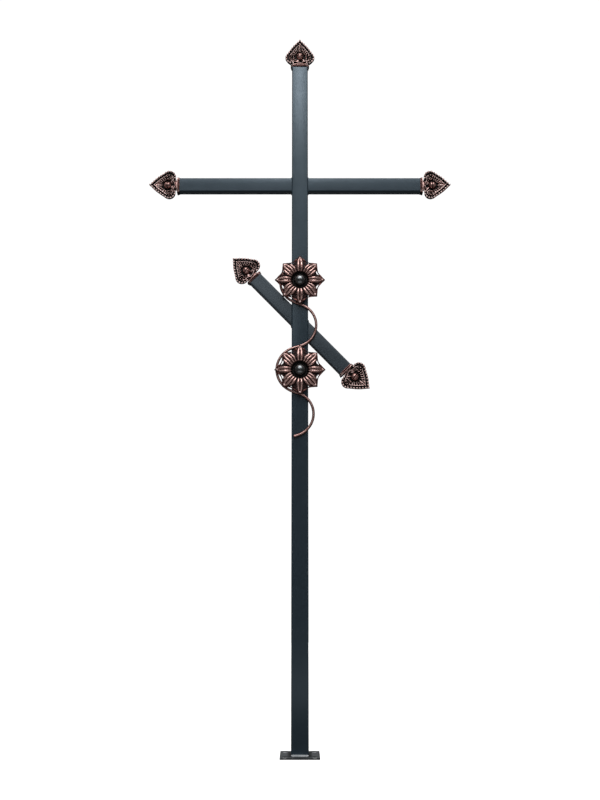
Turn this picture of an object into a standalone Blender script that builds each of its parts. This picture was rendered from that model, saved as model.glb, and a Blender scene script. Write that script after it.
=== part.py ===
"""A grave cross of rectangular steel tube, with cast tips, two stamped flowers and a scroll rod.

Lengths are in metres. +Z is up, the front faces -Y and +X is to the viewer's right.
The origin is the middle of the foot plate's underside.
"""

import math

import bmesh
import bpy
from mathutils import Matrix, Vector

# Clearance between pieces that touch
TOUCH_GAP = 0.0003

# Foot plate, its anchor holes and the weld beads on it
PLATE_SIDE = 0.112
PLATE_THICKNESS = 0.004
PLATE_EDGE_ROUNDING = 0.0006
ANCHOR_HOLE_DIAMETER = 0.010
ANCHOR_HOLE_INSET = 0.0145
WELD_REACH = 0.016
WELD_HEIGHT = 0.0045
WELD_LENGTH = 0.056

# Tubes
POST_WIDTH = 0.050
ARM_WIDTH = 0.044
TUBE_DEPTH = 0.030
TUBE_WALL = 0.002
TUBE_CORNER_RADIUS = 0.0035
POST_TOP = 2.0905
CROSSBAR_HEIGHT = 1.6935
CROSSBAR_REACH = 0.3744
SLANTED_BAR_HEIGHT = 1.250
SLANTED_BAR_REACH = 0.196
SLANT_ANGLE = math.radians(46)

# Cast tips, measured from the end of the tube that they close
COLLAR_OVERHANG = 0.0045
COLLAR_THICKNESS = 0.008
COLLAR_CORNER_RADIUS = 0.012
TIP_LENGTH = 0.0945
TIP_DEPTH = 0.029
LOBE_RADIUS = 0.0185
LOBE_SPREAD = 0.0278
LOBE_HEIGHT = 0.033
LOBE_END_ANGLE = math.radians(100)
BEAD_COUNT_PER_SIDE = 12
BEAD_SCALLOP_SHARE = 0.035
BEAD_SINK = 0.0025
BACK_EDGE_ROUNDING = 0.004
BORDER_DEPTH = 0.0039
GROOVE_DEPTH = 0.0036
RIM_DEPTH = 0.0005
FLUTE_DEPTH = 0.0035
FLUTE_SINK = 0.0017
HOLLOW_DEPTH = 0.009
KNOB_RADIUS = 0.0115
KNOB_HEIGHT = 0.038
KNOB_PROUD = 0.004
UPPER_TIP_LEAN = math.radians(-3.5)
LOWER_TIP_LEAN = math.radians(-6)
# How far out from the knob each ring of the leaf lies, as a share of the leaf's outline
LEAF_BACK_SHARE = 0.80
BEAD_ROW_SHARE = 0.93
GROOVE_SHARE = 0.84
RIM_SHARE = 0.75
FLUTE_SHARE = 0.63
HOLLOW_SHARE = 0.36

# Flowers and the half-balls in them
FLOWER_RADIUS = 0.0765
DIAGONAL_PETAL_RADIUS = 0.0735
# The outline from a petal's point to the notch beside it
PETAL_OUTLINE_SHARES = (1.0, 0.915, 0.855, 0.815, 0.79)
FLOWER_UPPER_HEIGHT = 1.3795
FLOWER_LOWER_HEIGHT = 1.1015
FLOWER_STEM_RADIUS = 0.012
FLOWER_SHEET = 0.002
PETAL_COUNT = 8
PETAL_CROWN = 0.017
PETAL_TIP_RISE = 0.006
RIB_HEIGHT = 0.0035
# From a petal's point: centre groove, inner rib, groove, outer lobe, valley, and back again
PETAL_RELIEF_SHARES = (-0.5, 1.0, -0.6, 0.6, -1.2, 0.6, -0.6, 1.0)
# How far out the border, the shoulder and the crown lie, as shares of the outline
PETAL_BORDER_SHARE = 0.90
SHOULDER_SHARE = 0.74
CROWN_SHARE = 0.55
BORDER_RIB_SHARE = 0.6
CUP_LIP_RIB_SHARE = 0.4
SHOULDER_DROP = 0.0015
CUP_LIP_RADIUS = 0.029
CUP_LIP_DROP = 0.006
CUP_FLOOR_RADIUS = 0.023
CUP_FLOOR_RISE = 0.004
BALL_RADIUS = 0.018

# Scroll rod, as distances from the flowers' middles
ROD_DIAMETER = 0.008
ROD_CURL_RADIUS = 0.056
ROD_WRAP_RADIUS = 0.071
ROD_CURL_START = math.radians(150)
ROD_BOW_BULGE = 0.0505
ROD_WRAP_LIFT = 0.003
ROD_END_DROP = 0.1985
ROD_END_OFFSET = -0.0177
ROD_STEP = 0.0115

# Fineness of the faceted shapes
CORNER_STEPS = 3
COLLAR_CORNER_STEPS = 4
BALL_SIDES = 20
KNOB_SIDES = 12
WELD_SIDES = 12
ANCHOR_HOLE_SIDES = 16
BASE_STEPS = 4
ROD_ROUND_STEPS = 2
ROD_SMOOTHING_STEPS = 3
SMOOTHING_ANGLE = math.radians(35)
MERGE_DISTANCE = 0.00001

FRONT = -TUBE_DEPTH / 2
FLOWER_BACK = FRONT - ROD_DIAMETER - 3 * TOUCH_GAP


def clear_scene():
    for leftover in list(bpy.data.objects):
        bpy.data.objects.remove(leftover)


def new_collection(name):
    collection = bpy.data.collections.new(name)
    bpy.context.scene.collection.children.link(collection)
    return collection


def new_material(name, colour, roughness, metallic):
    material = bpy.data.materials.new(name)
    material.use_nodes = True
    shader = material.node_tree.nodes["Principled BSDF"]
    shader.inputs["Base Color"].default_value = (*colour, 1)
    shader.inputs["Roughness"].default_value = roughness
    shader.inputs["Metallic"].default_value = metallic
    return material


def add_object(name, data, collection, material=None):
    thing = bpy.data.objects.new(name, data)
    collection.objects.link(thing)
    if material:
        data.materials.clear()
        data.materials.append(material)
    return thing


def evaluated_mesh(thing):
    """The object's mesh with its modifiers applied and its doubled points merged."""
    graph = bpy.context.evaluated_depsgraph_get()
    mesh = bpy.data.meshes.new_from_object(thing.evaluated_get(graph))
    work = bmesh.new()
    work.from_mesh(mesh)
    bmesh.ops.remove_doubles(work, verts=work.verts, dist=MERGE_DISTANCE)
    bmesh.ops.recalc_face_normals(work, faces=work.faces)
    work.to_mesh(mesh)
    work.free()
    return mesh


def mesh_from(name, work):
    """Turns an edit mesh into mesh data with its faces pointing out."""
    bmesh.ops.recalc_face_normals(work, faces=work.faces)
    mesh = bpy.data.meshes.new(name)
    work.to_mesh(mesh)
    work.free()
    return mesh


def boolean_mesh(name, base, others, operation, helpers):
    """One mesh from the base mesh and the others, joined, cut or intersected one after another."""
    body = add_object(name + "_body", base, helpers)
    tools = [add_object(f"{name}_tool_{i}", other, helpers) for i, other in enumerate(others)]
    for tool in tools:
        step = body.modifiers.new(tool.name, "BOOLEAN")
        step.operation = operation
        step.solver = "EXACT"
        step.object = tool
    bpy.context.view_layer.update()
    result = evaluated_mesh(body)
    for helper in (body, *tools):
        bpy.data.objects.remove(helper)
    return result


def shade_round(mesh):
    mesh.shade_smooth()
    mesh.set_sharp_from_angle(angle=SMOOTHING_ANGLE)


def box_mesh(name, low, high):
    """A box between two opposite corners."""
    low, high = Vector(low), Vector(high)
    work = bmesh.new()
    size = high - low
    place = Matrix.Translation((low + high) / 2) @ Matrix.Diagonal((*size, 1))
    bmesh.ops.create_cube(work, size=1, matrix=place)
    return mesh_from(name, work)


def rounded_rectangle(width, depth, radius, steps):
    """Corner points of a rectangle whose corners are arcs."""
    points = []
    for quarter in range(4):
        along_x = 1 if quarter in (0, 3) else -1
        along_y = 1 if quarter in (0, 1) else -1
        for step in range(steps + 1):
            angle = math.radians(90) * (quarter + step / steps)
            x = along_x * (width / 2 - radius) + radius * math.cos(angle)
            y = along_y * (depth / 2 - radius) + radius * math.sin(angle)
            points.append((x, y))
    return points


def section_mesh(name, outlines, length, helpers):
    """A flat section, with its inner outlines as holes, drawn out along +Z from Z = 0."""
    curve = bpy.data.curves.new(name, "CURVE")
    curve.dimensions = "2D"
    curve.fill_mode = "BOTH"
    curve.extrude = length / 2
    for outline in outlines:
        spline = curve.splines.new("POLY")
        spline.points.add(len(outline) - 1)
        for point, (x, y) in zip(spline.points, outline):
            point.co = (x, y, 0, 1)
        spline.use_cyclic_u = True
    holder = add_object(name, curve, helpers)
    bpy.context.view_layer.update()
    mesh = evaluated_mesh(holder)
    bpy.data.objects.remove(holder)
    bpy.data.curves.remove(curve)
    mesh.transform(Matrix.Translation((0, 0, length / 2)))
    return mesh


def tube_mesh(name, width, length, mitre, helpers):
    """A hollow tube along +Z. The mitre slides its lower end along itself by so much per width."""
    outer = rounded_rectangle(width, TUBE_DEPTH, TUBE_CORNER_RADIUS, CORNER_STEPS)
    inner_radius = max(TUBE_CORNER_RADIUS - TUBE_WALL, TUBE_WALL / 2)
    inner = rounded_rectangle(
        width - 2 * TUBE_WALL, TUBE_DEPTH - 2 * TUBE_WALL, inner_radius, CORNER_STEPS
    )
    mesh = section_mesh(name, (outer, inner), length, helpers)
    for vertex in mesh.vertices:
        if vertex.co.z < length / 2:
            vertex.co.z += vertex.co.x * mitre
    shade_round(mesh)
    return mesh


def place(thing, point, turn=0.0):
    """Sets an object down with its +Z turned about the Y axis, clockwise as the front is seen."""
    thing.location = point
    thing.rotation_euler = (0, turn, 0)


def add_base_plate(parts, helpers, steel):
    half = PLATE_SIDE / 2
    plate = box_mesh("base_plate", (-half, -half, 0), (half, half, PLATE_THICKNESS))
    thing = add_object("base_plate", plate, parts, steel)
    rounding = thing.modifiers.new("rounded edges", "BEVEL")
    rounding.width = PLATE_EDGE_ROUNDING
    rounding.segments = 1
    reach = half - ANCHOR_HOLE_INSET
    for x in (-reach, reach):
        for y in (-reach, reach):
            drill = bmesh.new()
            bmesh.ops.create_cone(
                drill,
                cap_ends=True,
                segments=ANCHOR_HOLE_SIDES,
                radius1=ANCHOR_HOLE_DIAMETER / 2,
                radius2=ANCHOR_HOLE_DIAMETER / 2,
                depth=3 * PLATE_THICKNESS,
                matrix=Matrix.Translation((x, y, PLATE_THICKNESS / 2)),
            )
            cutter = add_object("anchor_hole_cutter", mesh_from("anchor_hole", drill), helpers)
            cutter.hide_render = True
            cutter.display_type = "WIRE"
            hole = thing.modifiers.new("anchor hole", "BOOLEAN")
            hole.operation = "DIFFERENCE"
            hole.solver = "EXACT"
            hole.object = cutter


def add_foot_welds(parts, helpers, steel):
    """A low fillet bead with round ends along the foot of each wide face of the post."""
    for name, side in (("foot_weld_front", -1), ("foot_weld_back", 1)):
        work = bmesh.new()
        bmesh.ops.create_uvsphere(
            work,
            u_segments=WELD_SIDES,
            v_segments=WELD_SIDES // 2,
            radius=1,
            matrix=Matrix.Rotation(math.radians(90), 4, "Y"),
        )
        for vertex in work.verts:
            round_end = vertex.co.x * WELD_REACH / 2
            straight = math.copysign((WELD_LENGTH - WELD_REACH) / 2, vertex.co.x)
            in_middle = abs(vertex.co.x) < MERGE_DISTANCE
            vertex.co.x = 0 if in_middle else round_end + straight
            vertex.co.y = side * TUBE_DEPTH / 2 + vertex.co.y * WELD_REACH
            vertex.co.z = PLATE_THICKNESS + vertex.co.z * WELD_HEIGHT
        bead = mesh_from(name, work)
        near = side * (TUBE_DEPTH / 2 + TOUCH_GAP)
        far = side * (TUBE_DEPTH / 2 + 2 * WELD_REACH)
        corner = box_mesh(
            name + "_corner",
            (-WELD_LENGTH, min(near, far), PLATE_THICKNESS + TOUCH_GAP),
            (WELD_LENGTH, max(near, far), PLATE_THICKNESS + 2 * WELD_HEIGHT),
        )
        mesh = boolean_mesh(name, bead, (corner,), "INTERSECT", helpers)
        shade_round(mesh)
        add_object(name, mesh, parts, steel)


def add_tubes(parts, helpers, paint):
    post_foot = PLATE_THICKNESS + TOUCH_GAP
    post = tube_mesh("post", POST_WIDTH, POST_TOP - post_foot, 0, helpers)
    place(add_object("post", post, parts, paint), (0, 0, post_foot))

    side = POST_WIDTH / 2 + TOUCH_GAP
    for name, direction in (("crossbar_left", -1), ("crossbar_right", 1)):
        mesh = tube_mesh(name, ARM_WIDTH, CROSSBAR_REACH - side, 0, helpers)
        arm = add_object(name, mesh, parts, paint)
        place(arm, (direction * side, 0, CROSSBAR_HEIGHT), direction * math.radians(90))

    start = side / math.cos(SLANT_ANGLE)
    for name, turn in slanted_turns("slanted_bar_upper", "slanted_bar_lower"):
        length = SLANTED_BAR_REACH - start
        mesh = tube_mesh(name, ARM_WIDTH, length, math.tan(SLANT_ANGLE), helpers)
        arm = add_object(name, mesh, parts, paint)
        place(arm, along_slant(turn, start), turn)


def slanted_turns(upper, lower):
    """The turn that points each half of the slanted bar outwards, by name."""
    turn = SLANT_ANGLE - math.radians(90)
    return (upper, turn), (lower, turn + math.radians(180))


def along_slant(turn, distance):
    """The point of the slanted bar's middle line at a distance from the post's middle."""
    return (math.sin(turn) * distance, 0, SLANTED_BAR_HEIGHT + math.cos(turn) * distance)


def leaf_outline():
    """The tip's heart-shaped outline as (across, along) points, clockwise from its point."""
    to_lobe = math.hypot(LOBE_SPREAD, TIP_LENGTH - LOBE_HEIGHT)
    side_angle = math.atan2(LOBE_SPREAD, TIP_LENGTH - LOBE_HEIGHT)
    side_angle += math.asin(LOBE_RADIUS / to_lobe)
    straight = math.sqrt(to_lobe**2 - LOBE_RADIUS**2)
    side_length = straight + LOBE_RADIUS * (side_angle + LOBE_END_ANGLE)
    steps = 2 * BEAD_COUNT_PER_SIDE

    right = []
    for step in range(steps + 1):
        run = side_length * step / steps
        if run < straight:
            across = run * math.sin(side_angle)
            along = TIP_LENGTH - run * math.cos(side_angle)
        else:
            angle = side_angle - (run - straight) / LOBE_RADIUS
            across = LOBE_SPREAD + LOBE_RADIUS * math.cos(angle)
            along = LOBE_HEIGHT + LOBE_RADIUS * math.sin(angle)
        right.append((across, along))

    inner_end = right[-1][0]
    base = []
    for step in range(1, BASE_STEPS):
        base.append((inner_end * (1 - 2 * step / BASE_STEPS), COLLAR_THICKNESS / 2))
    left = [(-across, along) for across, along in reversed(right[1:])]
    return right + base + left


def leaf_rings():
    """Rings from the leaf's back to the hollow in its front.

    Each is its share of the outline, its place on Y, and how far it sinks and draws in between beads.
    """
    front = -TIP_DEPTH / 2
    back = TIP_DEPTH / 2
    return (
        (LEAF_BACK_SHARE, back, 0, 0),
        (1, back - BACK_EDGE_ROUNDING, 0, 0),
        (1, front + BORDER_DEPTH, 0, BEAD_SCALLOP_SHARE),
        (BEAD_ROW_SHARE, front, BEAD_SINK, BEAD_SCALLOP_SHARE),
        (GROOVE_SHARE, front + GROOVE_DEPTH, 0, 0),
        (RIM_SHARE, front + RIM_DEPTH, 0, 0),
        (FLUTE_SHARE, front + FLUTE_DEPTH, FLUTE_SINK, 0),
        (HOLLOW_SHARE, front + HOLLOW_DEPTH, 0, 0),
    )


def loft_mesh(name, rings, first_middle, last_middle):
    """A closed skin over rings with equal point counts, with a fan to a middle point at each end."""
    work = bmesh.new()
    loops = [[work.verts.new(point) for point in ring] for ring in rings]
    count = len(loops[0])
    for one, other in zip(loops, loops[1:]):
        for i in range(count):
            j = (i + 1) % count
            work.faces.new((one[i], one[j], other[j], other[i]))
    for loop, middle in ((loops[0], first_middle), (loops[-1], last_middle)):
        centre = work.verts.new(middle)
        for i in range(count):
            work.faces.new((loop[i], loop[(i + 1) % count], centre))
    return mesh_from(name, work)


def leaf_mesh(name):
    outline = leaf_outline()
    side_points = 2 * BEAD_COUNT_PER_SIDE
    last = len(outline)
    rings = []
    for share, y, sink, scallop in leaf_rings():
        ring = []
        for index, (across, along) in enumerate(outline):
            on_side = index <= side_points or index >= last - side_points
            between_beads = on_side and min(index, last - index) % 2 == 1
            reach = share - scallop if between_beads else share
            height = KNOB_HEIGHT + (along - KNOB_HEIGHT) * reach
            ring.append((across * reach, y + sink if between_beads else y, height))
        rings.append(ring)
    back = (0, TIP_DEPTH / 2, KNOB_HEIGHT)
    hollow = (0, -TIP_DEPTH / 2 + HOLLOW_DEPTH, KNOB_HEIGHT)
    return loft_mesh(name, rings, back, hollow)


def knob_mesh(name):
    work = bmesh.new()
    middle = (0, -TIP_DEPTH / 2 - KNOB_PROUD + KNOB_RADIUS, KNOB_HEIGHT)
    bmesh.ops.create_uvsphere(
        work,
        u_segments=KNOB_SIDES,
        v_segments=KNOB_SIDES // 2,
        radius=KNOB_RADIUS,
        matrix=Matrix.Translation(middle) @ Matrix.Rotation(math.radians(90), 4, "X"),
    )
    return mesh_from(name, work)


def tip_mesh(name, tube_width, lean, helpers):
    """A cast tip along +Z from the end of its tube: the leaf, the knob in its hollow and the collar."""
    collar_outline = rounded_rectangle(
        tube_width + 2 * COLLAR_OVERHANG,
        TUBE_DEPTH + 2 * COLLAR_OVERHANG,
        COLLAR_CORNER_RADIUS,
        COLLAR_CORNER_STEPS,
    )
    thickness = COLLAR_THICKNESS - TOUCH_GAP
    collar = section_mesh(name + "_collar", (collar_outline,), thickness, helpers)
    collar.transform(Matrix.Translation((0, 0, TOUCH_GAP)))
    leaf = leaf_mesh(name + "_leaf")
    knob = knob_mesh(name + "_knob")
    for piece in (leaf, knob):
        piece.transform(Matrix.Rotation(lean, 4, "Y"))
    mesh = boolean_mesh(name, leaf, (collar, knob), "UNION", helpers)
    shade_round(mesh)
    return mesh


def add_tips(parts, helpers, copper):
    post_tip = tip_mesh("tip_on_post", POST_WIDTH, 0, helpers)
    arm_tip = tip_mesh("tip_on_arm", ARM_WIDTH, 0, helpers)
    leans = (UPPER_TIP_LEAN, LOWER_TIP_LEAN)

    place(add_object("tip_top", post_tip, parts, copper), (0, 0, POST_TOP))
    for name, direction in (("tip_left", -1), ("tip_right", 1)):
        end = (direction * CROSSBAR_REACH, 0, CROSSBAR_HEIGHT)
        place(add_object(name, arm_tip, parts, copper), end, direction * math.radians(90))
    for (name, turn), lean in zip(slanted_turns("tip_slant_upper", "tip_slant_lower"), leans):
        mesh = tip_mesh(name, ARM_WIDTH, lean, helpers)
        tip = add_object(name, mesh, parts, copper)
        place(tip, along_slant(turn, SLANTED_BAR_REACH), turn)


def petal_reach(index):
    """The flower's outer radius at one of its sample points, counted from a petal's point at +X."""
    points_per_petal = 2 * (len(PETAL_OUTLINE_SHARES) - 1)
    petal, step = divmod(index + points_per_petal // 2, points_per_petal)
    from_point = abs(step - points_per_petal // 2)
    longest = DIAGONAL_PETAL_RADIUS if petal % 2 else FLOWER_RADIUS
    point_share = 1 - from_point / (points_per_petal // 2)
    reach = FLOWER_RADIUS + (longest - FLOWER_RADIUS) * point_share
    return reach * PETAL_OUTLINE_SHARES[from_point]


def flower_mesh(name):
    """A stamped flower round the Y axis, from the end of its stem at Y = 0 to its front at -Y."""
    back = FRONT - TOUCH_GAP - FLOWER_BACK
    crown = back + PETAL_CROWN
    tip_back = back + PETAL_TIP_RISE
    # Each ring is a fixed radius or a share of the outline, its rise and the height of the ribs
    rings = (
        (FLOWER_STEM_RADIUS, None, 0, 0),
        (FLOWER_STEM_RADIUS, None, back, 0),
        (None, 1, tip_back, 0),
        (None, 1, tip_back + FLOWER_SHEET, 0),
        (None, PETAL_BORDER_SHARE, tip_back + 2 * FLOWER_SHEET, BORDER_RIB_SHARE * RIB_HEIGHT),
        (None, SHOULDER_SHARE, crown - SHOULDER_DROP, RIB_HEIGHT),
        (None, CROWN_SHARE, crown, RIB_HEIGHT),
        (CUP_LIP_RADIUS, None, crown - CUP_LIP_DROP, CUP_LIP_RIB_SHARE * RIB_HEIGHT),
        (CUP_FLOOR_RADIUS, None, back + CUP_FLOOR_RISE, 0),
    )
    count = PETAL_COUNT * len(PETAL_RELIEF_SHARES)
    skins = []
    for radius, share, rise, relief in rings:
        ring = []
        for index in range(count):
            angle = 2 * math.pi * index / count
            reach = radius if share is None else share * petal_reach(index)
            height = rise + relief * PETAL_RELIEF_SHARES[index % len(PETAL_RELIEF_SHARES)]
            ring.append((reach * math.cos(angle), -height, reach * math.sin(angle)))
        skins.append(ring)
    mesh = loft_mesh(name, skins, (0, 0, 0), (0, -back - CUP_FLOOR_RISE, 0))
    shade_round(mesh)
    return mesh


def add_flowers(parts, copper, graphite):
    petals = flower_mesh("flower")
    ball = ball_profile("flower_ball")
    cup_floor = FLOWER_BACK - CUP_FLOOR_RISE
    heights = (("upper", FLOWER_UPPER_HEIGHT), ("lower", FLOWER_LOWER_HEIGHT))
    for word, height in heights:
        flower = add_object("flower_" + word, petals, parts, copper)
        flower.location = (0, FRONT - TOUCH_GAP, height)
        centre = add_object("flower_ball_" + word, ball, parts, graphite)
        centre.location = (0, cup_floor - TOUCH_GAP, height)
        centre.rotation_euler = (math.radians(90), 0, 0)
        turning = centre.modifiers.new("turned", "SCREW")
        turning.axis = "Z"
        turning.steps = BALL_SIDES
        turning.render_steps = BALL_SIDES
        turning.use_merge_vertices = True
        turning.merge_threshold = MERGE_DISTANCE


def ball_profile(name):
    """Half of a half-ball's outline, from its top down the outer side and back to the axis."""
    work = bmesh.new()
    steps = BALL_SIDES // 3
    points = []
    for step in range(steps + 1):
        angle = math.radians(90) * step / steps
        points.append(work.verts.new((BALL_RADIUS * math.sin(angle), 0, BALL_RADIUS * math.cos(angle))))
    points.append(work.verts.new((0, 0, 0)))
    for one, other in zip(points, points[1:]):
        work.edges.new((one, other))
    mesh = bpy.data.meshes.new(name)
    work.to_mesh(mesh)
    work.free()
    return mesh


def spiral(middle, start, end, start_radius, end_radius):
    """Points (x, z) round a middle, as the radius runs evenly from one value to the other."""
    length = abs(end - start) * (start_radius + end_radius) / 2
    steps = max(2, round(length / ROD_STEP))
    points = []
    for step in range(steps + 1):
        share = step / steps
        angle = start + (end - start) * share
        radius = start_radius + (end_radius - start_radius) * share
        points.append(middle + radius * Vector((math.cos(angle), math.sin(angle))))
    return points


def bow(start, end, bulge):
    """Points of the arc from start down to end that stands out to the right by the bulge."""
    chord = end - start
    half = chord.length / 2
    radius = (half**2 + bulge**2) / (2 * bulge)
    outwards = Vector((-chord.y, chord.x)).normalized()
    middle = (start + end) / 2 + outwards * (bulge - radius)
    first = math.atan2(start.y - middle.y, start.x - middle.x)
    last = math.atan2(end.y - middle.y, end.x - middle.x)
    return spiral(middle, first, last, radius, radius)


def scroll_route():
    """The rod's middle line as (x, z) points: a curl, a bow, a wrap round the lower flower, a bow."""
    upper = Vector((0, FLOWER_UPPER_HEIGHT))
    lower = Vector((0, FLOWER_LOWER_HEIGHT + ROD_WRAP_LIFT))
    below = math.radians(270)
    curl = spiral(upper, ROD_CURL_START, below, ROD_CURL_RADIUS, ROD_WRAP_RADIUS)
    wrap = spiral(lower, math.radians(90), below, ROD_WRAP_RADIUS, ROD_WRAP_RADIUS)
    end = Vector((ROD_END_OFFSET, FLOWER_LOWER_HEIGHT - ROD_END_DROP))
    upper_bow = bow(curl[-1], wrap[0], ROD_BOW_BULGE)
    lower_bow = bow(wrap[-1], end, ROD_BOW_BULGE)
    route = curl + upper_bow[1:] + wrap[1:] + lower_bow[1:]
    for _ in range(ROD_SMOOTHING_STEPS):
        inner = zip(route, route[1:], route[2:])
        smoothed = [(before + 2 * here + after) / 4 for before, here, after in inner]
        route = [route[0], *smoothed, route[-1]]
    return route


def add_scroll_rod(parts, copper):
    curve = bpy.data.curves.new("scroll_rod", "CURVE")
    curve.dimensions = "3D"
    curve.bevel_depth = ROD_DIAMETER / 2
    curve.bevel_resolution = ROD_ROUND_STEPS
    curve.use_fill_caps = True
    route = scroll_route()
    spline = curve.splines.new("POLY")
    spline.points.add(len(route) - 1)
    for point, (x, z) in zip(spline.points, route):
        point.co = (x, 0, z, 1)
    rod = add_object("scroll_rod", curve, parts, copper)
    rod.location.y = FRONT - TOUCH_GAP - ROD_DIAMETER / 2


def main():
    clear_scene()
    parts = new_collection("wrought_iron_cross")
    helpers = new_collection("cutters")
    paint = new_material("blue_grey_paint", (0.045, 0.062, 0.073), 0.42, 0.0)
    plate_steel = new_material("dark_grey_paint", (0.06, 0.065, 0.067), 0.5, 0.0)
    copper = new_material("brushed_copper_patina", (0.24, 0.10, 0.075), 0.45, 0.6)
    graphite = new_material("graphite", (0.03, 0.033, 0.035), 0.3, 0.4)
    add_base_plate(parts, helpers, plate_steel)
    add_foot_welds(parts, helpers, plate_steel)
    add_tubes(parts, helpers, paint)
    add_tips(parts, helpers, copper)
    add_flowers(parts, copper, graphite)
    add_scroll_rod(parts, copper)


main()
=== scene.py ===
"""A welded grave cross of rectangular tube with cast tips, two stamped flowers and a scroll rod.

Lengths are in metres. +Z is up, the front faces -Y and +X is to the viewer's right.
"""

import math

import bpy
import numpy as np
from mathutils import Matrix, Vector


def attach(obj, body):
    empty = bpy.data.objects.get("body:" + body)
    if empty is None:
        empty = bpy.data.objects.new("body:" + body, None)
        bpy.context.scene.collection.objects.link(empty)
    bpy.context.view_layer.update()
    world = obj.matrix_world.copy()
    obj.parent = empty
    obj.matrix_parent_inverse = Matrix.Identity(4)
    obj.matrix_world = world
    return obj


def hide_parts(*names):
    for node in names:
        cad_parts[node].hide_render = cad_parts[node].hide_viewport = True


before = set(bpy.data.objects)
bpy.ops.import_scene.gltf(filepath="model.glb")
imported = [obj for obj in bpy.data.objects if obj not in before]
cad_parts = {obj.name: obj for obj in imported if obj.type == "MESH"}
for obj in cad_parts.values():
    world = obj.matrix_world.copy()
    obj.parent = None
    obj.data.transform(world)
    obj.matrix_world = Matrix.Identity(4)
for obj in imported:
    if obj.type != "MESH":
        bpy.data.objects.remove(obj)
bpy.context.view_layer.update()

# Tubes, as the solids have them
POST_WIDTH = 0.050
ARM_WIDTH = 0.044
TUBE_DEPTH = 0.030
FRONT = -TUBE_DEPTH / 2
TUBE_WALL = 0.002
TUBE_CORNER_RADIUS = 0.0035
TOUCH_GAP = 0.0003
POST_TOP = 2.0905
CROSSBAR_HEIGHT = 1.6935
CROSSBAR_REACH = 0.3744
SLANTED_BAR_HEIGHT = 1.250
SLANTED_BAR_REACH = 0.196
SLANT_ANGLE = math.radians(46)

# Cast tips, measured from the end of their tube
COLLAR_OVERHANG = 0.0045
COLLAR_THICKNESS = 0.008
COLLAR_CORNER_RADIUS = 0.013
COLLAR_BAND_DROP = 0.0014
TIP_LENGTH = 0.0945
TIP_DEPTH = 0.029
LOBE_RADIUS = 0.0195
LOBE_SPREAD = 0.0268
LOBE_HEIGHT = 0.0315
LOBE_END_ANGLE = math.radians(100)
SIDE_TURN = 0.47  # the share of a whole turn that one beaded side takes
SIDE_SWELL = 0.0022  # how far each side stands out halfway between the point and the lobe
BEADS_PER_SIDE = 12
BEAD_RADIUS = 0.0030
BEAD_SHARE = 0.94
BEAD_SINK = 0.0008
KNOB_RADIUS = 0.0115
KNOB_HEIGHT = 0.038
KNOB_PROUD = 0.004
KNOB_GROOVE_WIDTH = 0.0013
KNOB_GROOVE_DEPTH = 0.0018
FLUTES_PER_SIDE = 10
FLUTE_DEPTH = 2.6  # in mm, as are RIB_HEIGHT and the volute's depth, heights and edge
RIB_HEIGHT = 5.6
MIDRIB_HALF_WIDTH = 0.0019
VOLUTE_ACROSS = 0.0256
VOLUTE_ALONG = 0.0325
VOLUTE_RING = 0.0064
VOLUTE_LOBES = 5
VOLUTE_DEPTH = 7.0
VOLUTE_RING_HEIGHT = 7.4
VOLUTE_EYE_HEIGHT = 3.2
VOLUTE_EDGE = (9.4, 8.4)
NECK_WIDTH = 0.024
NECK_DEPTH = 0.021
NECK_HEIGHT = 0.0085
NECK_CORNER_RADIUS = 0.005
NECK_EDGE_RADIUS = 0.0018
# The leaf's skin from back to hollow: reach, share of the outline, depth from the front plane in mm
LEAF_SKIN = np.array([
    (0.00, 0.00, 28.5), (0.08, 0.64, 28.5), (0.12, 0.80, 27.0), (0.16, 0.90, 18.0), (0.21, 1.00, 6.0),
    (0.24, 0.995, 4.4), (0.27, 0.98, 4.0), (0.30, 0.96, 4.6), (0.40, 0.85, 5.8), (0.45, 0.80, 6.2),
    (0.48, 0.765, 5.8), (0.51, 0.745, 1.4), (0.555, 0.715, 0.0), (0.60, 0.680, 1.2), (0.63, 0.655, 4.0),
    (0.78, 0.50, 5.2), (0.86, 0.40, 7.8), (0.92, 0.32, 9.0), (1.00, 0.02, 9.0),
])
UPPER_TIP_LEAN = math.radians(-3.5)
LOWER_TIP_LEAN = math.radians(-6)

# Stamped flowers
FLOWER_RADIUS = 0.0765
DIAGONAL_PETAL_RADIUS = 0.0735
PETAL_OUTLINE = (1.0, 0.915, 0.855, 0.815, 0.79)
PETAL_COUNT = 8
FLOWER_HEIGHTS = {"upper": 1.3795, "lower": 1.1015}
ROD_DIAMETER = 0.008
FLOWER_BACK = FRONT - ROD_DIAMETER - 3 * TOUCH_GAP
SHEET_THICKNESS = 0.0016
STUD_RADIUS = 0.0033
STUD_INSET = 0.0085
OPENING_HALF_LENGTH = 0.0078
OPENING_HALF_WIDTH = 0.0018
OPENING_INSET = 0.0049
HUB_RADIUS = 0.0115
HUB_STUB = 0.0035
CUP_EDGE = (0.0285, 0.0235)
# Petal profiles in mm, each a row of distances from the middle and a row of values
CROWN_HEIGHT = (
    (0, 20, 23.5, 26, 30, 38, 46, 54, 60, 66, 77),
    (4, 4, 5.5, 11, 14.6, 17.8, 17.6, 14.8, 11.6, 9.2, 6.8),
)
SUNK_DEPTH = ((0, 20, 26, 34, 50, 58, 64, 77), (0, 0, 2.6, 6.2, 8.4, 5.0, 1.4, 0.6))
INNER_RIB_MIDDLE = ((24, 34, 45, 56, 66, 71), (3.1, 4.3, 5.1, 4.8, 2.6, 0.8))
INNER_RIB_HALF_WIDTH = ((24, 34, 45, 56, 66, 71), (2.5, 3.5, 4.2, 4.0, 2.4, 0.9))
OUTER_RIB_MIDDLE = ((24, 34, 45, 52, 58), (9.2, 12.2, 13.4, 13.2, 12.4))
OUTER_RIB_HALF_WIDTH = ((24, 34, 45, 52, 58), (2.8, 3.6, 3.6, 3.3, 2.2))
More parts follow.
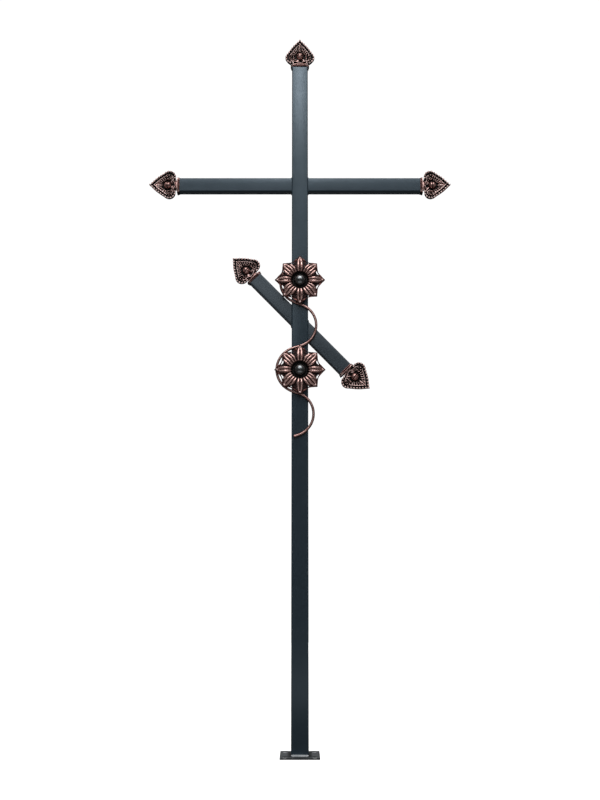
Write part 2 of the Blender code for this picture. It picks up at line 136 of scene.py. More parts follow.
PETAL_HALF_WIDTH = ((24, 34, 45, 56, 66, 71), (5.6, 8.0, 9.4, 8.6, 4.8, 1.6))
DIAGONAL_EXTRA_WIDTH = ((24, 45, 52, 60), (6.0, 7.0, 6.0, 0))
OUTER_RIB_SHARE = 0.88
PETAL_FLOOR_SHARE = 0.32
BALL_RADIUS = 0.018
BALL_FOOT = 0.0012  # the height of the ball's foot ring
CUP_DEPTH = 0.004

# Scroll rod, as distances from the flowers' middles
ROD_CURL_RADIUS = 0.056
ROD_WRAP_RADIUS = 0.071
ROD_CURL_START = math.radians(150)
ROD_BOW_BULGE = 0.0505
ROD_WRAP_LIFT = 0.003
ROD_END_DROP = 0.1985
ROD_END_OFFSET = -0.0177
ROD_STEP = 0.0115
ROD_END_SHARE = 0.02  # the share of the rod's grid that closes each end

# Foot plate and welds
PLATE_THICKNESS = 0.004
PLATE_SIZE = 0.112
PLATE_EDGE_RADIUS = 0.0009
PLATE_CORNER_RADIUS = 0.0012
ANCHOR_HOLE_RADIUS = 0.005
ANCHOR_HOLE_PLACE = 0.0415
HOLE_SHADE_SHIFT = 0.007
HOLE_HIGHLIGHT_SHIFT = 0.006
WELD_REACH = 0.0175
WELD_HEIGHT = 0.0018
WELD_LENGTH = 0.050
WELD_END_RADIUS = 0.006
WELD_RIPPLE = 0.0045
JOINT_WELD_RADIUS = 0.0007
JOINT_WELD_FULLER = 0.0016  # added above and below an arm
JOINT_WELD_RIPPLE = 0.0036

# Studio
CAMERA_PLACE = (0.0003, -2.802, 0.513)
CAMERA_TILT = math.radians(10.17)
CAMERA_LENS = 42.75
CAMERA_SENSOR = 36


# ---- Shaping ----


def deselect_all():
    if bpy.context.mode != "OBJECT":
        bpy.ops.object.mode_set(mode="OBJECT")
    bpy.ops.object.select_all(action="DESELECT")


def select_only(piece):
    deselect_all()
    piece.select_set(True)
    bpy.context.view_layer.objects.active = piece


def coordinates(mesh):
    points = np.empty(3 * len(mesh.vertices))
    mesh.vertices.foreach_get("co", points)
    return points.reshape(-1, 3)


def set_coordinates(mesh, points):
    mesh.vertices.foreach_set("co", np.ascontiguousarray(points, float).ravel())
    mesh.update()


def close_seams(piece, merge=0.000008):
    """Merges doubled points and turns every face outwards."""
    select_only(piece)
    bpy.ops.object.mode_set(mode="EDIT")
    bpy.ops.mesh.select_all(action="SELECT")
    bpy.ops.mesh.remove_doubles(threshold=merge)
    bpy.ops.mesh.dissolve_degenerate(threshold=0.000001)
    bpy.ops.mesh.normals_make_consistent(inside=False)
    bpy.ops.object.mode_set(mode="OBJECT")


def bent_grid(name, around, across, place):
    """A flat grid, bent by place(turn, reach), where both run from 0 to 1 along the grid's sides."""
    deselect_all()
    bpy.ops.mesh.primitive_grid_add(x_subdivisions=around, y_subdivisions=across, size=1)
    piece = bpy.context.object
    piece.name = name
    flat = coordinates(piece.data)
    set_coordinates(piece.data, place(flat[:, 0] + 0.5, flat[:, 1] + 0.5))
    return piece


def smooth(piece, degrees=40):
    select_only(piece)
    bpy.ops.object.shade_smooth_by_angle(angle=math.radians(degrees))


def apply_modifiers(piece):
    select_only(piece)
    for modifier in list(piece.modifiers):
        bpy.ops.object.modifier_apply(modifier=modifier.name)


def join(pieces, name):
    deselect_all()
    for piece in pieces:
        piece.select_set(True)
    bpy.context.view_layer.objects.active = pieces[0]
    bpy.ops.object.join()
    pieces[0].name = name
    pieces[0].data.name = name
    return pieces[0]


def moved(piece, matrix):
    """Puts the piece's place into its mesh."""
    piece.data.transform(matrix)
    piece.data.update()
    return piece


def smoothstep(low, high, value):
    share = np.clip((value - low) / (high - low), 0, 1)
    return share * share * (3 - 2 * share)


def bump(value, centre, width):
    """A smooth hump of height 1."""
    return np.exp(-(((value - centre) / width) ** 2))


def blurred(grid, kernel):
    for axis in (0, 1):
        grid = np.apply_along_axis(np.convolve, axis, grid, kernel, mode="same")
    return grid


def mark_relief(piece, reach, scale, patina, level=0.5, highest=1.0):
    """Stores how far each point stands out in front of its surroundings, for the rubbed copper.

    Where patina(points) is 1, nothing is rubbed off.
    """
    cell = 0.0006
    points = coordinates(piece.data)
    border = int(3 * reach / cell)
    column, row = (((points[:, axis] - points[:, axis].min()) / cell).astype(int) + border for axis in (0, 2))
    front = np.full((column.max() + border + 1, row.max() + border + 1), -1.0)
    np.maximum.at(front, (column, row), -points[:, 1])
    known = front > -1
    kernel = np.exp(-((np.arange(-border, border + 1) * cell / reach) ** 2))
    calm = blurred(np.where(known, front, 0.0), kernel) / np.maximum(blurred(known * 1.0, kernel), 1e-9)
    stand_out = (-points[:, 1] - calm[column, row]) / scale
    normals = np.empty(3 * len(points))
    piece.data.vertices.foreach_get("normal", normals)
    facing_back = smoothstep(0.1, 0.6, normals[1::3])
    relief = np.clip(level + 0.5 * stand_out, 0, highest) * (1 - patina(points))
    relief = relief * (1 - facing_back) + 0.56 * facing_back
    store_relief(piece, relief)


def store_relief(piece, relief):
    layer = piece.data.attributes.new("relief", "FLOAT", "POINT")
    layer.data.foreach_set("value", relief)


def pick(piece, kind, chosen):
    """Goes into edit mode with the chosen edges or faces selected: a flag for each, in order."""
    select_only(piece)
    bpy.ops.object.mode_set(mode="EDIT")
    bpy.ops.mesh.select_mode(type=kind)
    bpy.ops.mesh.select_all(action="DESELECT")
    bpy.ops.object.mode_set(mode="OBJECT")
    elements = piece.data.edges if kind == "EDGE" else piece.data.polygons
    elements.foreach_set("select", chosen)
    bpy.ops.object.mode_set(mode="EDIT")


def edge_ends(piece):
    ends = np.empty(2 * len(piece.data.edges), int)
    piece.data.edges.foreach_get("vertices", ends)
    points = coordinates(piece.data)
    return points[ends[0::2]], points[ends[1::2]]


def rounded_box(name, low, high, corner, edge, corner_steps=8, edge_steps=3):
    """A box with its upright edges rounded by the corner radius, then its rims by the edge radius."""
    low, high = np.array(low), np.array(high)
    deselect_all()
    bpy.ops.mesh.primitive_cube_add(size=1)
    box = bpy.context.object
    box.name = name
    set_coordinates(box.data, (low + high) / 2 + coordinates(box.data) * (high - low))
    one, other = edge_ends(box)
    pick(box, "EDGE", np.abs(one[:, 2] - other[:, 2]) > 1e-6)
    bpy.ops.mesh.bevel(offset=corner, segments=corner_steps, affect="EDGES")
    bpy.ops.object.mode_set(mode="OBJECT")
    if edge:
        one, other = edge_ends(box)
        pick(box, "EDGE", np.abs(one[:, 2] - other[:, 2]) < 1e-6)
        bpy.ops.mesh.bevel(offset=edge, segments=edge_steps, affect="EDGES")
        bpy.ops.object.mode_set(mode="OBJECT")
    return box


def finish_piece(piece, material, slot, *replaced):
    piece.data.materials.clear()
    piece.data.materials.append(material)
    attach(piece, "root")
    if replaced:
        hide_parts(*replaced)


# ---- Finishes ----


class Finish:
    """A material's nodes, wired in order."""

    def __init__(self, name):
        self.material = bpy.data.materials.new(name)
        self.material.use_nodes = True
        self.tree = self.material.node_tree
        self.shader = self.tree.nodes["Principled BSDF"]
        self.place = self.add("ShaderNodeTexCoord").outputs["Object"]

    def add(self, kind, **settings):
        node = self.tree.nodes.new(kind)
        for key, value in settings.items():
            setattr(node, key, value)
        return node

    def link(self, source, target):
        self.tree.links.new(source, target)

    def noise(self, scale, detail=3.0, roughness=0.55):
        node = self.add("ShaderNodeTexNoise")
        node.inputs["Scale"].default_value = scale
        node.inputs["Detail"].default_value = detail
        node.inputs["Roughness"].default_value = roughness
        self.link(self.place, node.inputs["Vector"])
        return node.outputs["Fac"]

    def ramp(self, source, *stops):
        node = self.add("ShaderNodeValToRGB")
        elements = node.color_ramp.elements
        while len(elements) < len(stops):
            elements.new(0.5)
        for element, (position, colour) in zip(elements, stops):
            element.position = position
            element.color = (*colour, 1) if len(colour) == 3 else colour
        self.link(source, node.inputs["Fac"])
        return node.outputs["Color"]

    def grey_ramp(self, source, *stops):
        return self.ramp(source, *[(position, (grey, grey, grey)) for position, grey in stops])

    def math(self, operation, one, other):
        node = self.add("ShaderNodeMath", operation=operation)
        for socket, value in zip(node.inputs, (one, other)):
            if isinstance(value, (int, float)):
                socket.default_value = value
            else:
                self.link(value, socket)
        return node.outputs[0]

    def mix(self, share, one, other):
        node = self.add("ShaderNodeMix", data_type="RGBA")
        self.link(share, node.inputs[0])
        for socket, value in ((node.inputs[6], one), (node.inputs[7], other)):
            if isinstance(value, tuple):
                socket.default_value = (*value, 1)
            else:
                self.link(value, socket)
        return node.outputs[2]

    def bumps(self, *layers):
        """Bump layers as (height, strength, distance), one on top of the other."""
        previous = None
        for height, strength, distance in layers:
            node = self.add("ShaderNodeBump")
            node.inputs["Strength"].default_value = strength
            node.inputs["Distance"].default_value = distance
            self.link(height, node.inputs["Height"])
            if previous:
                self.link(previous, node.inputs["Normal"])
            previous = node.outputs["Normal"]
        self.link(previous, self.shader.inputs["Normal"])


def satin_paint(name, dark, light, roughness, metallic):
    """A mottled satin skin with a fine orange peel, for paint, weld and graphite."""
    finish = Finish(name)
    mottle = finish.noise(35, 4)
    clouds = finish.noise(6, 3)
    tone = finish.math("ADD", finish.math("MULTIPLY", mottle, 0.45), finish.math("MULTIPLY", clouds, 0.55))
    finish.link(finish.ramp(tone, (0.3, dark), (0.7, light)), finish.shader.inputs["Base Color"])
    low, high = roughness
    finish.link(finish.grey_ramp(mottle, (0.3, low), (0.75, high)), finish.shader.inputs["Roughness"])
    finish.shader.inputs["Metallic"].default_value = metallic
    finish.bumps((finish.noise(420, 2), 0.10, 0.0004), (finish.noise(1500, 2), 0.06, 0.0002))
    return finish.material


def from_hole(finish, across, deep):
    """The distance from the nearest anchor hole's middle, in units of 20 mm."""
    beside = finish.math("POWER", finish.math("SUBTRACT", across, ANCHOR_HOLE_PLACE), 2.0)
    before = finish.math("POWER", finish.math("SUBTRACT", deep, ANCHOR_HOLE_PLACE), 2.0)
    return finish.math("MULTIPLY", finish.math("POWER", finish.math("ADD", beside, before), 0.5), 50.0)


def plate_paint(name):
    """Dark grey, darker at the plate's edges, with a painted shadow round the weld, painted shade just behind
    each hole and a painted highlight just before it.
    """
    finish = Finish(name)
    split = finish.add("ShaderNodeSeparateXYZ")
    finish.link(finish.place, split.inputs[0])
    wander = finish.math("MULTIPLY", finish.math("SUBTRACT", finish.noise(180, 3), 0.5), 0.004)
    x, y = (finish.math("ADD", split.outputs[axis], wander) for axis in ("X", "Y"))
    across = finish.math("ABSOLUTE", x, 0.0)
    deep = finish.math("ABSOLUTE", y, 0.0)
    outward = finish.math("MAXIMUM", across, deep)
    from_weld = finish.math(
        "MAXIMUM",
        finish.math("SUBTRACT", across, WELD_LENGTH / 2),
        finish.math("SUBTRACT", deep, TUBE_DEPTH / 2 + WELD_REACH),
    )
    behind_holes = finish.math("ABSOLUTE", finish.math("SUBTRACT", y, HOLE_SHADE_SHIFT), 0.0)
    before_holes = finish.math("ABSOLUTE", finish.math("ADD", y, HOLE_HIGHLIGHT_SHIFT), 0.0)
    mottle = finish.noise(90, 4)
    coat = finish.ramp(mottle, (0.3, (0.075, 0.081, 0.087)), (0.7, (0.115, 0.122, 0.128)))
    dark = finish.grey_ramp(finish.math("MULTIPLY", outward, 10.0), (0.525, 0.0), (0.550, 1.0))
    # Painted shadow: a dark band on the plate round the foot weld, where the bead's shadow falls.
    painted_weld_shadow = finish.grey_ramp(finish.math("MULTIPLY", from_weld, 50.0), (0.30, 1.0), (0.55, 0.0))
    # Painted shade: a dark patch just behind each anchor hole, for the shaded far wall of the hole.
    painted_hole_shade = finish.grey_ramp(from_hole(finish, across, behind_holes), (0.36, 1.0), (0.46, 0.0))
    # Painted highlight: a light patch just before each anchor hole, for its lit near edge.
    painted_hole_highlight = finish.grey_ramp(from_hole(finish, across, before_holes), (0.20, 1.0), (0.36, 0.0))
    coat = finish.mix(painted_hole_shade, coat, (0.010, 0.012, 0.014))
    coat = finish.mix(painted_hole_highlight, coat, (0.62, 0.63, 0.64))
    coat = finish.mix(finish.math("MAXIMUM", dark, painted_weld_shadow), coat, (0.010, 0.012, 0.014))
    finish.link(coat, finish.shader.inputs["Base Color"])
    finish.link(finish.grey_ramp(mottle, (0.3, 0.42), (0.75, 0.58)), finish.shader.inputs["Roughness"])
    finish.shader.inputs["Metallic"].default_value = 0.3
    finish.bumps((finish.noise(420, 2), 0.10, 0.0004), (finish.noise(1500, 2), 0.06, 0.0002))
    return finish.material


def rubbed_copper(name):
    """Near-black brown patina, rubbed through to copper on whatever stands out."""
    finish = Finish(name)
    relief = finish.add("ShaderNodeAttribute", attribute_name="relief").outputs["Fac"]
    patches = finish.noise(160, 4, 0.6)
    grain = finish.noise(900, 3, 0.6)
    worn = finish.math("ADD", relief, finish.math("MULTIPLY", finish.math("SUBTRACT", patches, 0.5), 0.35))
    worn = finish.math("ADD", worn, finish.math("MULTIPLY", finish.math("SUBTRACT", grain, 0.5), 0.20))
    colour = finish.ramp(
        worn,
        (0.40, (0.004, 0.0022, 0.002)),
        (0.56, (0.034, 0.012, 0.010)),
        (0.72, (0.22, 0.090, 0.078)),
        (0.92, (0.80, 0.52, 0.47)),
        (1.00, (0.95, 0.72, 0.68)),
    )
    finish.link(colour, finish.shader.inputs["Base Color"])
    metal = finish.grey_ramp(worn, (0.4, 0.0), (0.70, 0.85), (0.90, 0.85), (1.0, 0.45))
    finish.link(metal, finish.shader.inputs["Metallic"])
    finish.link(finish.grey_ramp(worn, (0.4, 0.60), (0.85, 0.30)), finish.shader.inputs["Roughness"])
    finish.shader.inputs["Specular IOR Level"].default_value = 0.2
    finish.bumps((patches, 0.15, 0.0006), (grain, 0.25, 0.00025))
    return finish.material


def pale_floor():
    finish = Finish("pale_studio_floor")
    tone = finish.ramp(finish.noise(3, 2), (0.3, (0.50, 0.50, 0.50)), (0.7, (0.53, 0.53, 0.53)))
    finish.link(tone, finish.shader.inputs["Base Color"])
    finish.shader.inputs["Roughness"].default_value = 0.9
    finish.shader.inputs["Specular IOR Level"].default_value = 0.1
    finish.shader.inputs["Emission Color"].default_value = (1, 1, 1, 1)
    finish.shader.inputs["Emission Strength"].default_value = 0.93
    return finish.material


# ---- Cast tips ----


def leaf_outline(turn):
    """The heart-shaped outline as (across, along): half a turn down each side from the point."""
    rise = TIP_LENGTH - LOBE_HEIGHT
    to_lobe = math.hypot(LOBE_SPREAD, rise)
    side_angle = math.atan2(LOBE_SPREAD, rise) + math.asin(LOBE_RADIUS / to_lobe)
    straight = math.sqrt(to_lobe**2 - LOBE_RADIUS**2)
    side = straight + LOBE_RADIUS * (side_angle + LOBE_END_ANGLE)
    folded = np.minimum(turn, 1 - turn)
    hand = np.where(turn <= 0.5, 1.0, -1.0)
    run = np.minimum(folded / SIDE_TURN, 1) * side
    angle = side_angle - (run - straight) / LOBE_RADIUS
    across = np.where(
        run < straight, run * math.sin(side_angle), LOBE_SPREAD + LOBE_RADIUS * np.cos(angle)
    )
    along = np.where(
        run < straight, TIP_LENGTH - run * math.cos(side_angle), LOBE_HEIGHT + LOBE_RADIUS * np.sin(angle)
    )
    # The sides swell a little between the point and the lobe
    way = np.clip(run / straight, 0, 1)
    swell = SIDE_SWELL * 16 * way**2 * (1 - way) ** 2
    across = across + swell * math.cos(side_angle)
    along = along + swell * math.sin(side_angle)
    base = np.clip((folded - SIDE_TURN) / (0.5 - SIDE_TURN), 0, 1)
    end_angle = -LOBE_END_ANGLE
    end_across = LOBE_SPREAD + LOBE_RADIUS * math.cos(end_angle)
    end_along = LOBE_HEIGHT + LOBE_RADIUS * math.sin(end_angle)
    across = np.where(folded > SIDE_TURN, end_across * (1 - base), across)
    lowest = COLLAR_THICKNESS / 2
    along = np.where(folded > SIDE_TURN, end_along + (lowest - end_along) * smoothstep(0, 1, base), along)
    return hand * across, along


def leaf_place(turn, reach):
    """The leaf's skin, from the middle of its back round the wall to the hollow in its front."""
    share = np.interp(reach, LEAF_SKIN[:, 0], LEAF_SKIN[:, 1])
    depth = np.interp(reach, LEAF_SKIN[:, 0], LEAF_SKIN[:, 2])
    across, along = leaf_outline(turn)
    x = across * share
    z = KNOB_HEIGHT + (along - KNOB_HEIGHT) * share
    front = reach > 0.5
    flutes = smoothstep(0.34, 0.44, share) * smoothstep(0.69, 0.65, share) * front
    ribs = np.cos(math.pi * FLUTES_PER_SIDE * turn / SIDE_TURN) ** 2
    depth = depth + flutes * (FLUTE_DEPTH - RIB_HEIGHT * ribs)
    beside_volute, above_volute = np.abs(x) - VOLUTE_ACROSS, z - VOLUTE_ALONG
    from_lobe = 1000 * np.hypot(beside_volute, above_volute)
    around_lobe = np.arctan2(above_volute, beside_volute)
    ring = bump(from_lobe, 1000 * VOLUTE_RING, 2.3) * (0.72 + 0.28 * np.cos(VOLUTE_LOBES * around_lobe))
    volute = VOLUTE_DEPTH - VOLUTE_RING_HEIGHT * ring - VOLUTE_EYE_HEIGHT * bump(from_lobe, 0, 1.9)
    depth = depth + smoothstep(*VOLUTE_EDGE, from_lobe) * front * (volute - depth)
    midrib = bump(x, 0, MIDRIB_HALF_WIDTH) * (z > KNOB_HEIGHT) * front
    midrib = midrib * smoothstep(0.22, 0.34, share) * smoothstep(0.80, 0.74, share)
    crest = 0.4 + 3.2 * smoothstep(0.75, 0.3, share)
    depth = depth + midrib * (np.minimum(depth, crest) - depth)
    return np.stack([x, -TIP_DEPTH / 2 + depth / 1000, z], axis=1)


def leaf_body():
    piece = bent_grid("leaf", 360, 98, leaf_place)
    close_seams(piece)
    return piece


def bead_row():
    """Beads round the leaf's border, a half-sunk ball each, modelled once and copied."""
    deselect_all()
    bpy.ops.mesh.primitive_uv_sphere_add(segments=16, ring_count=10, radius=BEAD_RADIUS)
    bead = bpy.context.object
    beads = [bead]
    turns = np.arange(1, BEADS_PER_SIDE + 1) / BEADS_PER_SIDE * SIDE_TURN
    turns = np.concatenate([[0.0], turns, 1 - turns])
    across, along = leaf_outline(turns)
    spots = np.stack([across * BEAD_SHARE, KNOB_HEIGHT + (along - KNOB_HEIGHT) * BEAD_SHARE], axis=1)
    ball = coordinates(bead.data).copy()
    for index, (x, z) in enumerate(spots):
        if index:
            deselect_all()
            copy = bead.copy()
            copy.data = bead.data.copy()
            bpy.context.scene.collection.objects.link(copy)
            beads.append(copy)
        set_coordinates(beads[-1].data, ball + np.array([x, -TIP_DEPTH / 2 + BEAD_SINK, z]))
    return join(beads, "beads")


def knob():
    """The round boss in the hollow, with a groove across its middle."""
    deselect_all()
    middle = -TIP_DEPTH / 2 - KNOB_PROUD + KNOB_RADIUS
    bpy.ops.mesh.primitive_uv_sphere_add(
        segments=48, ring_count=40, radius=KNOB_RADIUS, location=(0, middle, KNOB_HEIGHT)
    )
    boss = bpy.context.object
    bpy.ops.object.transform_apply(location=True, rotation=True, scale=True)
    points = coordinates(boss.data)
    groove = bump(points[:, 2], KNOB_HEIGHT, KNOB_GROOVE_WIDTH) * (points[:, 1] < middle)
    points[:, 1] += KNOB_GROOVE_DEPTH * groove
    set_coordinates(boss.data, points)
    front = np.clip((middle - points[:, 1]) / KNOB_RADIUS, 0, 1)
    store_relief(boss, 0.66 + 0.20 * front - 0.42 * groove)
    return boss


def neck():
    """The short banded block between the lobes, above the collar."""
    half = NECK_WIDTH / 2
    low = COLLAR_THICKNESS - 0.001
    return rounded_box(
        "neck",
        (-half, -NECK_DEPTH / 2, low),
        (half, NECK_DEPTH / 2, low + NECK_HEIGHT),
        NECK_CORNER_RADIUS,
        NECK_EDGE_RADIUS,
        corner_steps=6,
    )


def collar(tube_width):
    """The collar over the tube's end: a flat band with a raised rim on the tip's side."""
    half_width = tube_width / 2 + COLLAR_OVERHANG
    half_depth = TUBE_DEPTH / 2 + COLLAR_OVERHANG
    drop = COLLAR_BAND_DROP
    waist = 0.6 * COLLAR_THICKNESS
    band = rounded_box(
        "collar_band",
        (-half_width + drop, -half_depth + drop, TOUCH_GAP),
        (half_width - drop, half_depth - drop, waist + 0.0006),
        COLLAR_CORNER_RADIUS - drop,
        0.0008,
    )
    rim = rounded_box(
        "collar_rim",
        (-half_width, -half_depth, waist),
        (half_width, half_depth, COLLAR_THICKNESS),
        COLLAR_CORNER_RADIUS,
        0.0012,
    )
    return join([band, rim], "collar")


def dark_hollow(points):
    """1 in the leaf's hollow and behind it, where the patina stays whole."""
    return smoothstep(-0.0095, -0.0068, points[:, 1])


def cast_tip(name, tube_width, lean, place):
    """One whole tip: the leaf with its beads and knob, the neck under it and the collar."""
    leaf = join([leaf_body(), bead_row(), neck()], name)
    mark_relief(leaf, 0.0024, 0.0009, dark_hollow)
    leaf = join([leaf, knob()], name)
    moved(leaf, Matrix.Rotation(lean, 4, "Y"))
    band = collar(tube_width)
    mark_relief(band, 0.0022, 0.0011, dark_hollow, level=0.68)
    tip = join([leaf, band], name + "_cast")
    moved(tip, place)
    smooth(tip, 50)
    finish_piece(tip, copper, "brushed_copper_patina", name)
    return tip


def slanted_turn(upper):
    return SLANT_ANGLE - math.radians(90) + (0 if upper else math.radians(180))


def tip_places():
    """Each tip's name, tube width, lean and place."""
    top = Matrix.Translation((0, 0, POST_TOP))
    yield "tip_top", POST_WIDTH, 0, top
    for name, side in (("tip_left", -1), ("tip_right", 1)):
        end = Matrix.Translation((side * CROSSBAR_REACH, 0, CROSSBAR_HEIGHT))
        yield name, ARM_WIDTH, 0, end @ Matrix.Rotation(side * math.radians(90), 4, "Y")
    for name, upper, lean in (
        ("tip_slant_upper", True, UPPER_TIP_LEAN),
        ("tip_slant_lower", False, LOWER_TIP_LEAN),
    ):
        turn = slanted_turn(upper)
        end = (
            math.sin(turn) * SLANTED_BAR_REACH,
            0,
            SLANTED_BAR_HEIGHT + math.cos(turn) * SLANTED_BAR_REACH,
        )
        yield name, ARM_WIDTH, lean, Matrix.Translation(end) @ Matrix.Rotation(turn, 4, "Y")


# ---- Flowers ----


def petal_edge(angle):
    """The flower's outline at an angle, the angle from the nearest petal's middle, and its kind."""
    pitch = 2 * math.pi / PETAL_COUNT
    petal = np.round(angle / pitch)
    from_middle = angle - petal * pitch
    share = np.abs(from_middle) / (pitch / 2)
    diagonal = petal.astype(int) % 2 == 1
    longest = np.where(diagonal, DIAGONAL_PETAL_RADIUS, FLOWER_RADIUS)
    reach = FLOWER_RADIUS + (longest - FLOWER_RADIUS) * (1 - share)
    outline = np.interp(share, np.linspace(0, 1, len(PETAL_OUTLINE)), PETAL_OUTLINE)
    return reach * outline, from_middle, diagonal


def rib(offset, middle, half_width):
    """A rounded rib's height share across it."""
    return np.sqrt(np.clip(1 - ((offset - middle) / half_width) ** 2, 0, 1))


def petal_height(radius, from_middle, diagonal):
    """How far the stamped sheet stands in front of the flower's back plane."""
    mm = radius * 1000
    side = np.abs(radius * np.sin(from_middle)) * 1000
    crown = np.interp(mm, *CROWN_HEIGHT)
    sunk = np.interp(mm, *SUNK_DEPTH)
    inner = rib(side, np.interp(mm, *INNER_RIB_MIDDLE), np.interp(mm, *INNER_RIB_HALF_WIDTH))
    inner = inner * smoothstep(22, 26, mm) * smoothstep(73, 66, mm)
    outer = rib(side, np.interp(mm, *OUTER_RIB_MIDDLE), np.interp(mm, *OUTER_RIB_HALF_WIDTH))
    outer = OUTER_RIB_SHARE * outer * smoothstep(22, 26, mm) * smoothstep(60, 54, mm) * diagonal
    width = np.interp(mm, *PETAL_HALF_WIDTH)
    width = width + diagonal * np.interp(mm, *DIAGONAL_EXTRA_WIDTH)
    petal = PETAL_FLOOR_SHARE * smoothstep(width, width - 1.6, side)
    return (crown - sunk * (1 - np.maximum(np.maximum(inner, outer), petal))) / 1000


def opening(radius, angle):
    """Where a point lies against the slit across the nearest notch: 1 on the slit's edge."""
    edge, from_middle, _ = petal_edge(angle)
    from_notch = math.pi / PETAL_COUNT - np.abs(from_middle)
    return from_notch * radius / OPENING_HALF_LENGTH, (edge - radius - OPENING_INSET) / OPENING_HALF_WIDTH


def sheet_points(radius, angle):
    _, from_middle, diagonal = petal_edge(angle)
    height = petal_height(radius, from_middle, diagonal)
    return np.stack([radius * np.cos(angle), -height, radius * np.sin(angle)], axis=1)


def flower_sheet(name):
    """The stamped sheet, slit at the notches between its petals and open behind."""

    def place(turn, reach):
        angle = turn * 2 * math.pi
        return sheet_points(reach * petal_edge(angle)[0], angle)

    piece = bent_grid(name, 56 * PETAL_COUNT, 76, place)
    close_seams(piece)
    pierce(piece)
    wall = piece.modifiers.new("sheet", "SOLIDIFY")
    wall.thickness = SHEET_THICKNESS
    wall.offset = 1
    apply_modifiers(piece)
    return piece


def pierce(piece):
    """Cuts the slits, then draws their stepped edges out to a smooth line."""
    mesh = piece.data
    centres = np.empty(3 * len(mesh.polygons))
    mesh.polygons.foreach_get("center", centres)
    along, over = opening(np.hypot(centres[0::3], centres[2::3]), np.arctan2(centres[2::3], centres[0::3]))
    pick(piece, "FACE", along**2 + over**2 < 1)
    bpy.ops.mesh.delete(type="FACE")
    bpy.ops.object.mode_set(mode="OBJECT")
    uses = np.zeros(len(mesh.edges), int)
    loops = np.empty(len(mesh.loops), int)
    mesh.loops.foreach_get("edge_index", loops)
    np.add.at(uses, loops, 1)
    ends = np.empty(2 * len(mesh.edges), int)
    mesh.edges.foreach_get("vertices", ends)
    points = coordinates(mesh)
    rim = np.unique(ends.reshape(-1, 2)[uses == 1])
    radius = np.hypot(points[rim, 0], points[rim, 2])
    angle = np.arctan2(points[rim, 2], points[rim, 0])
    along, over = opening(radius, angle)
    distance = np.hypot(along, over)
    stepped = (petal_edge(angle)[0] - radius > 0.0004) & (distance < 2)
    rim, radius, angle, over, distance = (value[stepped] for value in (rim, radius, angle, over, distance))
    radius = radius + over * (1 - 1 / distance) * OPENING_HALF_WIDTH
    points[rim] = sheet_points(radius, angle)
    set_coordinates(mesh, points)


def flower_studs():
    """A round stud near each petal's point."""
    deselect_all()
    bpy.ops.mesh.primitive_uv_sphere_add(segments=16, ring_count=10, radius=STUD_RADIUS)
    stud = bpy.context.object
    ball = coordinates(stud.data).copy()
    studs = [stud]
    for index in range(PETAL_COUNT):
        angle = index * 2 * math.pi / PETAL_COUNT
        reach = (DIAGONAL_PETAL_RADIUS if index % 2 else FLOWER_RADIUS) - STUD_INSET
        if index:
            copy = stud.copy()
            copy.data = stud.data.copy()
            bpy.context.scene.collection.objects.link(copy)
            studs.append(copy)
        spot = sheet_points(np.array([reach]), np.array([angle]))[0] - np.array([0, SHEET_THICKNESS, 0])
        set_coordinates(studs[-1].data, ball + spot)
    return join(studs, "studs")


def flower_hub():
    """The stub behind the flower that holds it off the post."""
    length = FRONT - TOUCH_GAP - FLOWER_BACK + HUB_STUB
    deselect_all()
    bpy.ops.mesh.primitive_cylinder_add(vertices=40, radius=HUB_RADIUS, depth=length)
    hub = bpy.context.object
    bpy.ops.object.mode_set(mode="EDIT")
    bpy.ops.mesh.select_all(action="SELECT")
    bpy.ops.mesh.bevel(offset=0.0008, segments=2, affect="EDGES")
    bpy.ops.object.mode_set(mode="OBJECT")
    back = FRONT - TOUCH_GAP - FLOWER_BACK
    moved(hub, Matrix.Translation((0, back - length / 2, 0)) @ Matrix.Rotation(math.radians(90), 4, "X"))
    return hub


def dark_cup(points):
    """1 in the flower's cup, where the patina stays whole."""
    return smoothstep(*CUP_EDGE, np.hypot(points[:, 0], points[:, 2]))


def stamped_flower(word, height):
    name = "flower_" + word
    sheet = join([flower_sheet(name + "_sheet"), flower_hub()], name)
    mark_relief(sheet, 0.0030, 0.0020, dark_cup, highest=0.88)
    studs = flower_studs()
    store_relief(studs, np.full(len(studs.data.vertices), 1.0))
    flower = join([sheet, studs], name + "_stamped")
    moved(flower, Matrix.Translation((0, FLOWER_BACK, height)))
    smooth(flower, 60)
    finish_piece(flower, copper, "brushed_copper_patina", name)
    return flower


def flower_ball(word, height):
    """A half-ball with a small foot ring in the flower's cup."""

    def place(turn, reach):
        angle = turn * 2 * math.pi
        stations = np.array([0, 0.2, 0.26, 0.32, 1.0])
        radius = np.interp(reach, stations, [0, BALL_RADIUS * 0.98, BALL_RADIUS, BALL_RADIUS, 0])
        rise = np.interp(reach, stations, [0, 0, 0.0004, BALL_FOOT, 0])
        latitude = np.clip((reach - 0.32) / 0.68, 0, 1) * math.pi / 2
        radius = np.where(reach > 0.32, BALL_RADIUS * np.cos(latitude), radius)
        rise = np.where(reach > 0.32, BALL_FOOT + (BALL_RADIUS - BALL_FOOT) * np.sin(latitude), rise)
        return np.stack([radius * np.cos(angle), -rise, radius * np.sin(angle)], axis=1)

    ball = bent_grid("flower_ball_" + word + "_turned", 56, 34, place)
    close_seams(ball)
    moved(ball, Matrix.Translation((0, FLOWER_BACK - CUP_DEPTH - TOUCH_GAP, height)))
    smooth(ball, 50)
    finish_piece(ball, graphite, "graphite", "flower_ball_" + word)
    return ball


# ---- Scroll rod ----


def spiral(middle, start, end, start_radius, end_radius):
    length = abs(end - start) * (start_radius + end_radius) / 2
    steps = max(2, round(length / ROD_STEP))
    points = []
    for step in range(steps + 1):
        share = step / steps
        angle = start + (end - start) * share
        radius = start_radius + (end_radius - start_radius) * share
        points.append(middle + radius * Vector((math.cos(angle), math.sin(angle))))
    return points


